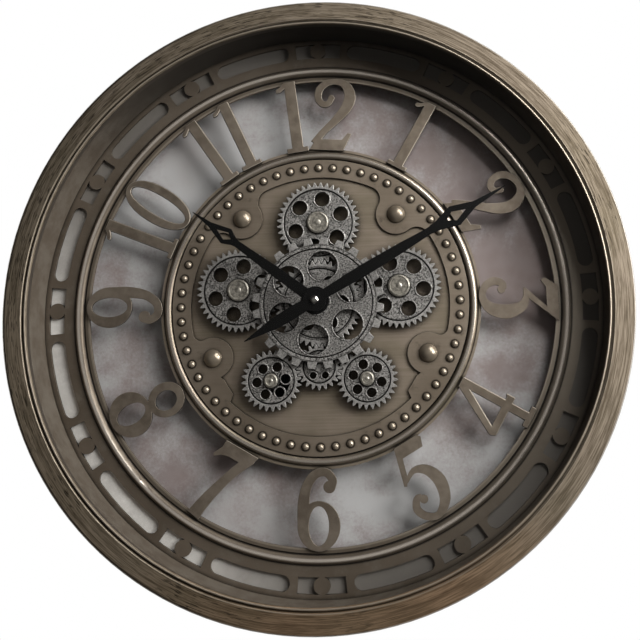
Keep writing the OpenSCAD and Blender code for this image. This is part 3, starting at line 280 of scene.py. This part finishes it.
# Glass: a clear flat pane that lies behind the frame's lip, with a faint gloss on its outer face.
# A black rubber ring pressed in from behind holds it.
def two_tone(name, roughness, metallic, scale, dark, light, *names, detail=3.0):
    """A plain finish with fine mottling between two shades, put on the named CAD pieces."""
    mat, shader, place = material(name, roughness, metallic)
    feed(shader, noise(place, scale, detail).mix(dark, light))
    dress(mat, *names)
    return mat, shader


mat = bpy.data.materials.new("pane_glass")
mat.use_nodes = True
tree = mat.node_tree
tree.nodes.remove(tree.nodes["Principled BSDF"])
start = Wire(tree, None)
clear = start.node("BsdfTransparent", Color=(0.908, 0.910, 0.908))
shine = start.node("BsdfGlossy", Color=(0.9, 0.9, 0.9), Roughness=0.02)
facing = start.node("Fresnel", IOR=1.45)
outward = parts_of(start.node("TexCoord", out="Normal"))[1].between(-0.3, -0.7)
pane = start.node("MixShader", i0=facing * outward * 0.12, i1=clear, i2=shine)
plug(tree, tree.nodes["Material Output"].inputs["Surface"], pane)
dress(mat, "glass_pane")
two_tone("seal_black", 0.6, 0.0, 300.0, (0.040, 0.032, 0.025), (0.060, 0.048, 0.038), "glass_retainer")


# Dial: a slotted ring with a half-round bead, moulded in plastic and laid on the spacer, in taupe
# bronze paint. Painted shade darkens its corners, its groove and the feet of the bead, painted
# highlights run along the bead's crest, the inner edge and the edges of the slots, and painted light
# brightens its right side.
def soften(name, width, angle=30.0, segments=2):
    """Breaks a CAD piece's hard edges, as moulding and paint do."""
    obj = nodes[name]
    weld = obj.modifiers.new("weld", "WELD")
    weld.merge_threshold = 1e-6
    flat = obj.modifiers.new("flat", "DECIMATE")
    flat.decimate_type = "DISSOLVE"
    flat.angle_limit = math.radians(0.6)
    edge = obj.modifiers.new("edge", "BEVEL")
    edge.width, edge.segments = width, segments
    edge.limit_method, edge.angle_limit = "ANGLE", math.radians(angle)
    edge.harden_normals = False
    even = obj.modifiers.new("even", "WEIGHTED_NORMAL")
    even.keep_sharp = True


def shaded_hollows(place, reach):
    """1 in corners and under edges within the given reach, 0 in the open; the materials paint shade there."""
    return 1.0 - place.node("AmbientOcclusion", {"samples": 6}, out="AO", Distance=reach)


def bevels(place):
    """1 on the small bevels between a plate's face and its cut edge, 0 on both of those; the materials paint highlights
    there.
    """
    lean = parts_of(place.node("TexCoord", out="Normal"))[1]
    return abs(lean).near(0.70, 0.32)


mat, shader, place = material("dial_bronze", 0.58, 0.6)
x, y, z = parts_of(place)
radius = spread(x, z)
bead = radius.near(0.2156, 0.0040) * y.between(-0.0334, -0.0352)
crest = radius.near(0.2157, 0.0026) * bead
feet = radius.near(0.2200, 0.0014) + radius.near(0.2112, 0.0012)
groove = radius.near(0.2108, 0.0008)
inner_edge = radius.between(0.2084, 0.2072) * y.between(-0.0320, -0.0326)
slotted = radius.between(0.224, 0.226)
# Painted light: the right side of the dial is paler.
right_side_light = (x / radius).between(0.2, 0.9) * (0.4 + (z / radius).between(-0.55, 0.0) * 0.6)
paint = noise(place, 14.0, 4.0).between(0.3, 0.7).mix((0.124, 0.098, 0.073), (0.175, 0.141, 0.109))
paint = (noise(place, 60.0, 5.0, 0.65).between(0.5, 0.72) * 0.5).mix(paint, (0.215, 0.190, 0.158))
paint = (right_side_light * 0.75).mix(paint, (0.42, 0.365, 0.300))
# Painted shade in the corners, the groove and at the bead's feet; painted highlights on the crest, the inner edge and
# the edges of the slots.
paint = (shaded_hollows(place, 0.004).between(0.05, 0.55) * 0.85).mix(paint, (0.012, 0.009, 0.006))
paint = (groove * 0.9).mix(paint, (0.012, 0.009, 0.006))
paint = (crest * 0.9).mix(paint, (0.92, 0.83, 0.74))
paint = (feet * 0.9).mix(paint, (0.010, 0.007, 0.005))
paint = (inner_edge * 0.5).mix(paint, (0.42, 0.365, 0.295))
paint = (bevels(place) * slotted * 0.5).mix(paint, (0.40, 0.345, 0.275))
feed(shader, paint)
feed(shader, 0.58 - bead * 0.34, "Roughness")
bump(shader, noise(place, 700.0, 2.0), 0.10, 0.0002)
dress(mat, "dial_ring")
soften("dial_ring", 0.0004, 50.0)


# Back panel and spacer: galvanised sheet, cloudy grey with brownish patches, and painted light and
# shade that make it lighter toward the upper left and lower right and darker toward the upper right.
# The panel is screwed to bosses in the frame, and the spacer's flange closes the dial's slots from
# behind; painted shade darkens the spacer everywhere but at the lower left.
def galvanised(name, dark, light, shade_where=None):
    """Zinc on sheet steel in dark and light clouds, with brown stains and painted light and shade in front
    and plain behind. The optional function of x and z says where painted shade darkens the sheet."""
    mat, shader, place = material(name, 0.70, 0.35)
    x, _, z = parts_of(place)
    square = x * x + z * z
    # Painted light and shade: lighter toward the upper left and lower right, darker toward the upper right, where the
    # frame shades the sheet.
    lobes = ((z * z - x * x) * 0.5 - x * z * 1.732) / square * 0.10
    lobes = lobes - (x * 0.94 + z * 0.34) / square ** 0.5 * 0.08
    drift = noise(place, 9.0, 2.0)
    moved = place.node("VectorMath", Vector=place, i1=vector(drift * 0.05, 0.0, drift * 0.05))
    cloud = noise(moved, 20.0, 5.0, 0.6)
    stain = noise(place, 8.0, 3.0, 0.5)
    grain = noise(place, 420.0, 2.0, 0.6)
    spangle = place.node("TexVoronoi", Vector=place, Scale=110.0)
    sheet = (cloud + lobes + (grain - 0.5) * 0.22).between(0.32, 0.68).mix(dark, light)
    sheet = (stain.between(0.50, 0.72) * 0.4).mix(sheet, (0.315, 0.240, 0.222))
    sheet = (spangle.between(0.0, 0.9) * 0.10).mix(sheet, (0.56, 0.56, 0.57))
    # Painted shade where the given function says.
    if shade_where:
        sheet = shade_where(x, z).mix(sheet, (0.150, 0.134, 0.118))
    plain = (cloud * 0.6 + spangle * 0.4).between(0.2, 0.8).mix((0.36, 0.36, 0.365), (0.44, 0.44, 0.445))
    rear = parts_of(place.node("TexCoord", out="Normal"))[1].between(0.2, 0.6)
    feed(shader, rear.mix(sheet, plain))
    return mat


# Painted shade on the spacer everywhere but at the lower left.
def shade_away_from_lower_left(x, z):
    return ((x * -0.866 - z * 0.5) / spread(x, z)).between(0.98, 0.52) * 0.93


dress(galvanised("panel_zinc", (0.330, 0.270, 0.262), (0.590, 0.585, 0.590)), "back_panel")
dress(galvanised("spacer_zinc", (0.66, 0.64, 0.615), (0.92, 0.90, 0.87), shade_away_from_lower_left), "spacer_ring")

# Hanger, standoffs, nuts and other steel: pressed or turned with a dull zinc plate. The hanger is
# screwed to the panel, and its keyhole takes the head of a wall screw.
zinc, _ = two_tone("zinc_steel", 0.35, 0.9, 260.0, (0.36, 0.36, 0.35), (0.56, 0.56, 0.54),
                   "panel_screws_rear", "hanger_plate", "hanger_screws", "plate_standoffs", "standoff_screws",
                   "post_nuts", "sun_clip", "motor_shaft", "motor_screws", "stator_plate", "step_rotor",
                   "cell_contacts", detail=4.0)
soften("hanger_plate", 0.0004, 40.0)


# Screws: zinc-plated pan heads with a cross recess, driven from behind. Each set of new screws
# stands on the places of the CAD screws and takes over from them.
def islands(name):
    """The corner points of each separate solid of a CAD piece, from low x to high x."""
    bm = bmesh.new()
    bm.from_mesh(nodes[name].data)
    bm.transform(nodes[name].matrix_world)
    bmesh.ops.remove_doubles(bm, verts=bm.verts, dist=1e-6)
    left, groups = set(bm.verts), []
    while left:
        stack, group = [left.pop()], []
        while stack:
            vert = stack.pop()
            group.append(vert.co.copy())
            fresh = {edge.other_vert(vert) for edge in vert.link_edges} & left
            left -= fresh
            stack += fresh
        groups.append(group)
    bm.free()
    return sorted(groups, key=lambda group: min((round(p.x, 5), round(p.z, 5)) for p in group))


def middle_of(points):
    """The x and z of the middle of the points' box."""
    return [(min(p[k] for p in points) + max(p[k] for p in points)) / 2 for k in (0, 2)]


def turned(profile, steps=32):
    """A solid turned about z from (radius, height, material number) points, base first."""
    bm = bmesh.new()
    rings = []
    for radius, height, _ in profile:
        turns = [math.tau * k / steps for k in range(steps)] if radius else [0.0]
        rings.append([bm.verts.new((radius * math.cos(t), radius * math.sin(t), height)) for t in turns])
    for low, high, point in zip(rings, rings[1:], profile[1:]):
        for k in range(steps):
            j = (k + 1) % steps
            corners = low[k % len(low)], low[j % len(low)], high[j % len(high)], high[k % len(high)]
            face = bm.faces.new(dict.fromkeys(corners))
            face.material_index = point[2]
    return bm


def cut(body, tool):
    """The body with the tool's shape taken out of it."""
    pair = []
    for part in (body, tool):
        mesh = bpy.data.meshes.new("cut")
        part.to_mesh(mesh)
        part.free()
        pair.append(bpy.data.objects.new("cut", mesh))
        scene.collection.objects.link(pair[-1])
    change = pair[0].modifiers.new("cut", "BOOLEAN")
    change.operation, change.solver, change.object = "DIFFERENCE", "EXACT", pair[1]
    result = bmesh.new()
    result.from_object(pair[0], bpy.context.evaluated_depsgraph_get())
    for obj in pair:
        bpy.data.objects.remove(obj)
    return result


def gather(name, pieces, materials, node=None):
    """One object out of (solid, place) pairs, riding on the clock, in place of a CAD piece if one is named."""
    whole = bmesh.new()
    for solid, place in pieces:
        solid.transform(place)
        mesh = bpy.data.meshes.new("piece")
        solid.to_mesh(mesh)
        solid.free()
        whole.from_mesh(mesh)
        bpy.data.meshes.remove(mesh)
    for face in whole.faces:
        face.smooth = True
    for edge in whole.edges:
        edge.smooth = edge.calc_face_angle(0.0) < 0.6
    mesh = bpy.data.meshes.new(name)
    whole.to_mesh(mesh)
    whole.free()
    for mat in materials:
        mesh.materials.append(mat)
    obj = bpy.data.objects.new(name, mesh)
    scene.collection.objects.link(obj)
    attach(obj, "clock_body")
    if node:
        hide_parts(node)


def cross_recess(turn, *ends):
    """The tapered cross of a driver's tip, from (height, arm, half width) at its point and its top."""
    recess = bmesh.new()
    loops = []
    for level, arm, half in ends:
        quarter = [(arm, -half), (arm, half), (half, half)]
        corners = []
        for k in range(4):
            swing = Matrix.Rotation(turn + k * math.pi / 2, 3, "Z")
            corners += [recess.verts.new(swing @ Vector((a, b, 0.0)) + Vector((0.0, 0.0, level))) for a, b in quarter]
        loops.append(corners)
    low, high = loops
    recess.faces.new(low[::-1])
    recess.faces.new(high)
    for k in range(len(low)):
        j = (k + 1) % len(low)
        recess.faces.new((low[k], low[j], high[j], high[k]))
    return recess


def cross_screw(points, turn):
    """A pan-head screw on a CAD screw's points, head toward the wall, and its place."""
    low, high = min(p.y for p in points), max(p.y for p in points)
    middle_x, middle_z = middle_of(points)
    reach = [(math.hypot(p.x - middle_x, p.z - middle_z), p.y) for p in points]
    head = max(r for r, _ in reach)
    shank = max(r for r, level in reach if level < low + 1e-4)
    seat = min(level for r, level in reach if r > head - 1e-4) - low
    top = high - low
    rise = top - seat
    profile = [(0.0, 0.0), (shank, 0.0), (shank, seat), (head, seat), (head, seat + rise * 0.35)]
    for step in range(1, 6):
        angle = math.radians(15.0 * step)
        profile.append((head * (0.25 + 0.75 * math.cos(angle)), seat + rise * (0.35 + 0.65 * math.sin(angle))))
    profile.append((0.0, top))
    recess = cross_recess(turn, (top - rise * 0.6, head * 0.32, head * 0.09),
                          (top + rise * 0.2, head * 0.62, head * 0.13))
    screw = cut(turned([(*point, 0) for point in profile]), recess)
    return screw, Matrix.Translation((middle_x, low, middle_z)) @ Matrix.Rotation(-math.pi / 2, 4, "X")


for name in ("panel_screws_rear", "hanger_screws", "standoff_screws", "motor_screws"):
    screws = [cross_screw(points, 0.8 * k) for k, points in enumerate(islands(name))]
    gather("cross_" + name, screws, [zinc], name)


# Centre plate: a moulded disc with a round bead, faintly brushed from side to side under its bronze
# paint, with painted shade in its corners and at the bead's feet and a painted highlight on the bead's
# crest. It stands on four standoffs from the panel and carries the gears and the movement.
def brushed_level(place, scale, over):
    """Noise that is drawn out from side to side."""
    x, y, z = parts_of(place)
    return noise(vector(x * scale, y * scale, z * over), 1.0, 4.0, 0.6)


mat, shader, place = material("plate_bronze", 0.58, 0.85)
x, y, z = parts_of(place)
radius = spread(x, z)
bead = radius.near(0.1352, 0.0036) * y.between(-0.0333, -0.0350)
crest = radius.near(0.1353, 0.0024) * bead
feet = radius.near(0.1313, 0.0011) + radius.near(0.1391, 0.0011)
grain = brushed_level(place, 20.0, 700.0)
cloud = grain * 0.3 + noise(place, 16.0, 3.0) * 0.7
paint = cloud.between(0.36, 0.64).mix((0.262, 0.220, 0.162), (0.390, 0.322, 0.260))
# Painted shade in the corners and at the bead's feet, and a painted highlight on the crest.
paint = (shaded_hollows(place, 0.010).between(0.05, 0.6) * 0.92).mix(paint, (0.012, 0.009, 0.006))
paint = (crest * 0.9).mix(paint, (0.84, 0.755, 0.665))
paint = (feet * 0.85).mix(paint, (0.012, 0.009, 0.006))
feed(shader, paint)
feed(shader, 0.58 - bead * 0.34, "Roughness")
bump(shader, grain, 0.05, 0.0003)
dress(mat, "centre_plate")

# Border: a second moulded plate with four lobes, riveted onto the first and painted like it. Its
# edges carry a painted highlight, and painted shade lies in its corners and round the foot of each stud.
minutes, stud_ring = 60, 0.1233
mat, shader, place = material("border_bronze", 0.58, 0.86)
x, y, z = parts_of(place)
radius = spread(x, z)
minute = x.maths("ARCTAN2", x, z) * (minutes / math.tau) + minutes
aside = (minute - minute.maths("ROUND", minute)) * radius * (math.tau / minutes)
# Painted shade round the foot of each stud.
stud_foot_shade = spread(aside, radius - stud_ring).near(0.0034, 0.0015)
grain = brushed_level(place, 24.0, 600.0)
cloud = grain * 0.25 + noise(place, 18.0, 3.0) * 0.75
paint = cloud.between(0.32, 0.66).mix((0.235, 0.190, 0.145), (0.315, 0.262, 0.208))
# Painted shade in the corners and a painted highlight on the bevelled edges.
paint = (shaded_hollows(place, 0.004).between(0.04, 0.40) * 0.92).mix(paint, (0.014, 0.010, 0.007))
paint = (bevels(place) * 0.85).mix(paint, (0.62, 0.54, 0.44))
paint = (noise(place, 90.0, 4.0, 0.7).between(0.55, 0.75) * 0.5).mix(paint, (0.075, 0.058, 0.042))
paint = (stud_foot_shade * 0.85).mix(paint, (0.016, 0.012, 0.008))
feed(shader, paint)
bump(shader, grain, 0.05, 0.0003)
dress(mat, "border_plate")
soften("border_plate", 0.0009, 40.0)


# Studs and rivets: moulded domed heads, painted bronze and darkened with painted shade where they
# meet the border. The four rivets hold the border and plate to the standoffs.
def domed(name, scale, dark, light, foot_from, foot_shade, node):
    mat, shader, place = material(name, 0.30, 0.6)
    foot = parts_of(place)[1].between(foot_from, -0.0350)
    paint = noise(place, scale).mix(dark, light)
    # Painted shade at the foot, where the dome meets the border.
    feed(shader, (foot * foot_shade).mix(paint, (0.03, 0.024, 0.017)))
    dress(mat, node)


domed("stud_bronze", 500.0, (0.36, 0.30, 0.235), (0.54, 0.465, 0.37), -0.0362, 0.85, "minute_studs")
domed("rivet_bronze", 120.0, (0.270, 0.222, 0.168), (0.360, 0.302, 0.232), -0.0370, 0.8, "dome_rivets")

# Numerals: moulded 2.2 mm thick and painted like the dial, each resting on the rims of the plate and
# the dial. Their rounded edges carry a painted highlight at the face and painted shade below it.
numerals = ["numeral_%d" % hour for hour in range(1, 13)]
mat, shader, place = material("numeral_bronze", 0.58, 0.85)
y = parts_of(place)[1]
# Painted shade on the edge below the face and a painted highlight at the face's rim.
edge_shade = y.between(-0.0350, -0.0348)
edge_highlight = y.between(-0.0352, -0.0351) * y.between(-0.0349, -0.0350)
cloud = noise(place, 22.0, 3.0) * 0.6 + noise(place, 110.0, 4.0, 0.65) * 0.4
paint = cloud.between(0.36, 0.64).mix((0.185, 0.150, 0.117), (0.315, 0.265, 0.214))
paint = (edge_shade * 0.92).mix(paint, (0.016, 0.012, 0.009))
paint = (edge_highlight * 0.8).mix(paint, (0.60, 0.54, 0.46))
feed(shader, paint)
bump(shader, noise(place, 500.0, 3.0), 0.10, 0.0002)
dress(mat, *numerals)
for name in numerals:
    soften(name, 0.0010, 30.0, 3)


# Gears: moulded teeth and webs painted pewter and speckled. Painted shade lies in every corner, on the
# sunken web, in the groove inside the rim and round the pins, and the bevels carry a painted
# highlight. The pins are turned, each with a dished head and a small nub.
heads = []
for points in islands("gear_posts"):
    middle_x, middle_z = middle_of(points)
    reach = max(math.hypot(p.x - middle_x, p.z - middle_z) for p in points)
    face = min(p.y for p in points if math.hypot(p.x - middle_x, p.z - middle_z) > reach - 1e-4)
    heads.append((middle_x, middle_z, reach, face))


def pewter(name, front):
    """Pewter paint for a gear whose rim lies at the given y; painted shade darkens it with the depth below the rim."""
    mat, shader, place = material("pewter_" + name, 0.48, 0.8)
    x, y, z = parts_of(place)
    points = [v.co for v in nodes[name].data.vertices]
    middle_x, middle_z = middle_of(points)
    outer = max(p.x for p in points) - middle_x
    radius = spread(x - middle_x, z - middle_z)
    deep_mm = (y - front) * 1000.0
    rim = radius.between(outer - 0.0061, outer - 0.0057)
    rim_line = radius.near(outer - 0.0065, 0.0013)
    speck = noise(place, 760.0, 3.0, 0.75)
    shade_tone = (0.008, 0.007, 0.006)
    paint = speck.between(0.38, 0.60).mix((0.020, 0.019, 0.018), (0.74, 0.715, 0.69))
    paint = (noise(place, 60.0, 3.0).between(0.4, 0.7) * 0.25).mix(paint, (0.24, 0.23, 0.22))
    # Painted shade on the sunken web, in the groove inside the rim and deep below the rim, a painted highlight on the
    # bevels, and painted shade in corners and round the pin.
    paint = (deep_mm.between(0.1, 0.7) * 0.25).mix(paint, (0.10, 0.095, 0.09))
    paint = (rim * 0.56).mix(paint, (0.52, 0.505, 0.49))
    paint = (rim_line * 0.7).mix(paint, (0.020, 0.018, 0.016))
    paint = (deep_mm.between(0.8, 1.3) * 0.95).mix(paint, shade_tone)
    paint = (bevels(place) * 0.8).mix(paint, (0.92, 0.90, 0.87))
    paint = (shaded_hollows(place, 0.006).between(0.15, 0.6) * 0.93).mix(paint, shade_tone)
    for pin_x, pin_z, reach, _ in heads:
        if math.hypot(pin_x - middle_x, pin_z - middle_z) < 0.001:
            paint = (radius.near(reach + 0.0004, 0.0014) * 0.95).mix(paint, shade_tone)
    feed(shader, paint)
    bump(shader, speck, 0.40, 0.0003)
    dress(mat, name)
    soften(name, 0.0004, 40.0)


for name in ("sun_gear", "top_gear", "left_gear", "right_gear", "drive_pinion", "lower_left_gear", "lower_right_gear"):
    pewter(name, -0.041)
pewter("front_gear", -0.0455)

mat, shader, place = material("post_pewter", 0.36, 0.6)
paint = noise(place, 420.0, 3.0, 0.7).between(0.35, 0.65).mix((0.20, 0.185, 0.16), (0.52, 0.485, 0.42))
# Painted highlight on the bevels and painted shade in the corners.
paint = (bevels(place) * 0.6).mix(paint, (0.66, 0.63, 0.56))
paint = (shaded_hollows(place, 0.002) * 0.9).mix(paint, (0.02, 0.018, 0.015))
feed(shader, paint)
dress(mat, "gear_posts")
soften("gear_posts", 0.0005, 40.0)
caps = []
for middle_x, middle_z, reach, face in heads:
    rim = [(0.0006, -0.0002), (0.0006, 0.0002), (0.0009, 0.0005), (0.0014, 0.0006), (0.0019, 0.0005), (0.0022, 0.0001)]
    profile = [(reach - inset, height, 0) for inset, height in rim]
    profile = [(0.0, profile[0][1], 0), *profile, (0.0, profile[-1][1], 0)]
    spot = Matrix.Translation((middle_x, face, middle_z)) @ Matrix.Rotation(math.pi / 2, 4, "X")
    caps.append((turned(profile, 64), spot))
gather("post_rims", caps, [mat])

# Hands: flat blanks stamped from aluminium sheet and painted matt black, pressed on the hour tube
# and the minute arbor, with a bright turned nut over them.
_, shader = two_tone("hand_black", 0.5, 0.0, 400.0, (0.0020, 0.0020, 0.0020), (0.005, 0.005, 0.005),
                     "hour_hand", "minute_hand")
shader.inputs["Specular IOR Level"].default_value = 0.12
for name in ("hour_hand", "minute_hand"):
    soften(name, 0.00025)
two_tone("nut_bright", 0.2, 1.0, 500.0, (0.60, 0.585, 0.55), (0.78, 0.765, 0.73), "hand_nut")

# Movement, motor and battery box: black mouldings that hold brass, copper and ivory-coloured works.
# They are fixed behind the plate and reached through the opening in the panel.
mouldings = ("movement_case", "movement_cover", "setting_knob", "battery_box")
two_tone("movement_black", 0.5, 0.0, 500.0, (0.010, 0.010, 0.010), (0.020, 0.020, 0.020), *mouldings)
for name in mouldings:
    soften(name, 0.0004, 40.0)
two_tone("brass_work", 0.3, 0.95, 400.0, (0.52, 0.38, 0.15), (0.66, 0.50, 0.22),
         "fixing_nut", "minute_arbor", "hour_tube")
two_tone("wheel_ivory", 0.5, 0.0, 200.0, (0.70, 0.64, 0.50), (0.76, 0.71, 0.58), "minute_wheel")
two_tone("copper_coil", 0.35, 0.8, 600.0, (0.42, 0.16, 0.06), (0.56, 0.25, 0.10), "drive_coil")
two_tone("board_green", 0.45, 0.0, 300.0, (0.012, 0.11, 0.035), (0.02, 0.15, 0.05), "circuit_board")
two_tone("motor_can", 0.35, 0.85, 200.0, (0.42, 0.42, 0.42), (0.55, 0.55, 0.55), "gear_motor")
two_tone("switch_white", 0.5, 0.0, 300.0, (0.60, 0.57, 0.50), (0.68, 0.65, 0.58), "switch_slider")
soften("switch_slider", 0.0005, 40.0)

# Cells: one dry cell for the movement and two for the gear motor, with a dark sleeve, a copper-coloured
# band and crimped steel ends. They lie in the bays where the plain CAD cells are.
sleeve, _ = two_tone("cell_sleeve", 0.35, 0.3, 200.0, (0.035, 0.05, 0.06), (0.05, 0.07, 0.085),
                     "clock_cell", "gear_cells")
band, _ = two_tone("cell_band", 0.32, 0.7, 200.0, (0.40, 0.23, 0.09), (0.48, 0.29, 0.12))


def cell(points):
    """A dry cell on a CAD cell's points, and its place."""
    low = Vector([min(p[k] for p in points) for k in range(3)])
    high = Vector([max(p[k] for p in points) for k in range(3)])
    size, middle = high - low, (low + high) / 2
    axis = max(range(3), key=lambda k: size[k])
    side = (axis + 1) % 3
    wide = size[side] / 2
    cap = max(abs(p[side] - middle[side]) for p in points if p[axis] > high[axis] - 1e-4)
    way = Vector([float(k == axis) for k in range(3)])
    if cap > wide * 0.7:
        cap = max(abs(p[side] - middle[side]) for p in points if p[axis] < low[axis] + 1e-4)
        way = -way
    length, cap_rise = size[axis], 0.0012
    body = length - cap_rise
    dark, copper, steel = range(3)
    profile = [(0.0, 0.0003, steel), (wide * 0.70, 0.0003, steel), (wide * 0.76, 0.0, steel), (wide * 0.90, 0.0, steel),
               (wide - 0.0002, 0.0002, dark), (wide, 0.0005, dark), (wide, body * 0.74, dark),
               (wide, body - 0.0005, copper), (wide - 0.0002, body - 0.0002, copper), (wide * 0.88, body, copper),
               (wide * 0.80, body - 0.0002, steel), (cap + 0.0004, body - 0.0002, steel), (cap, body + 0.0002, steel),
               (cap, length - 0.0003, steel), (cap - 0.0003, length, steel), (0.0, length, steel)]
    turn = way.to_track_quat("Z", "Y").to_matrix().to_4x4()
    return turned(profile, 48), Matrix.Translation(middle - way * length / 2) @ turn


for name in ("clock_cell", "gear_cells"):
    gather("dry_" + name, [cell(points) for points in islands(name)], [sleeve, band, zinc], name)
